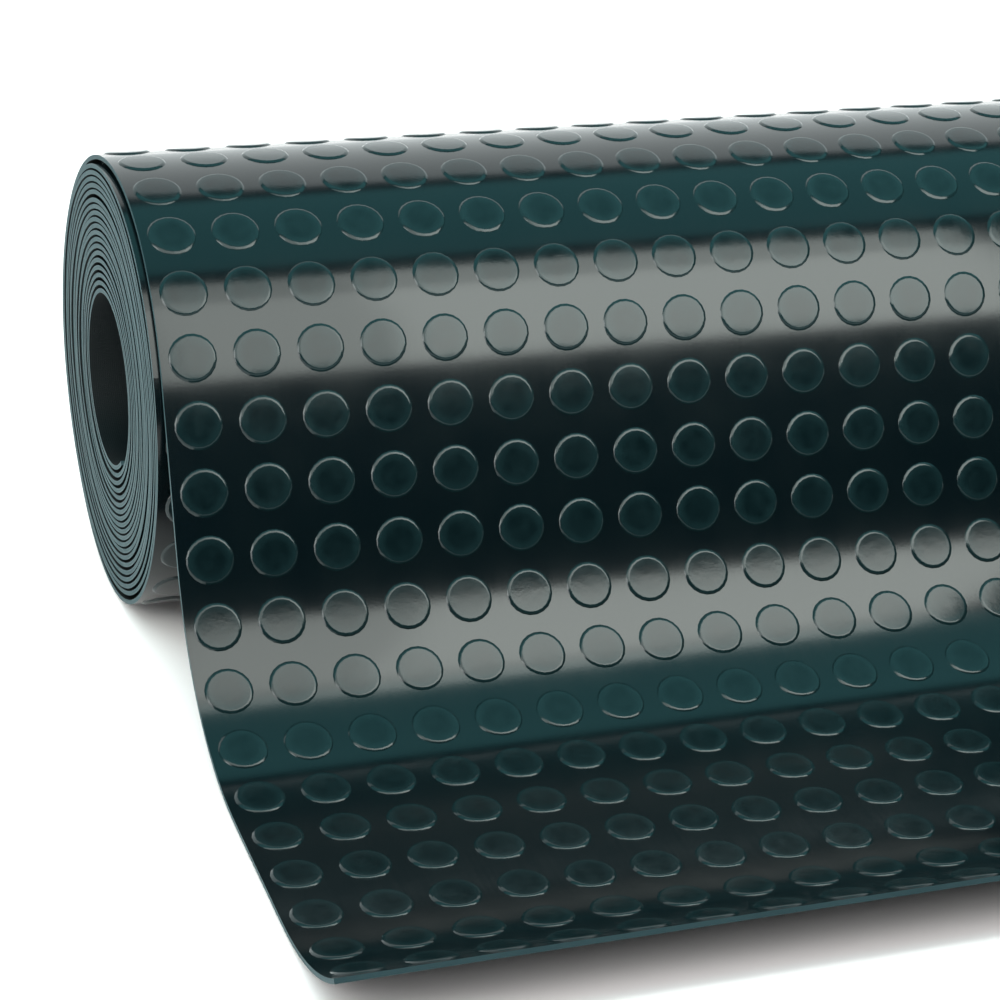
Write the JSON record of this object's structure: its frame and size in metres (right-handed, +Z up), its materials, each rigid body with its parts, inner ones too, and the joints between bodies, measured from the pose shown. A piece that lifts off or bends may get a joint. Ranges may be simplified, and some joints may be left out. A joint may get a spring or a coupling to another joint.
{
  "type": "coin rubber matting roll",
  "caption": "Roll of black rubber matting with round raised coins, lying on the floor with its loose end laid out in front.",
  "frame": {"origin": "middle of the part's footprint, on the floor that the roll and its loose end lie on", "axes": "+X along the roll's axis and across the sheet, -Y towards the free end of the loose end, +Z up"},
  "size_m": [1.2, 0.507, 0.2208],
  "materials": {
    "rubber": "satin moulded"
  },
  "bodies": {
    "root": {"coin_mat": "rubber"}
  },
  "joints": []
}
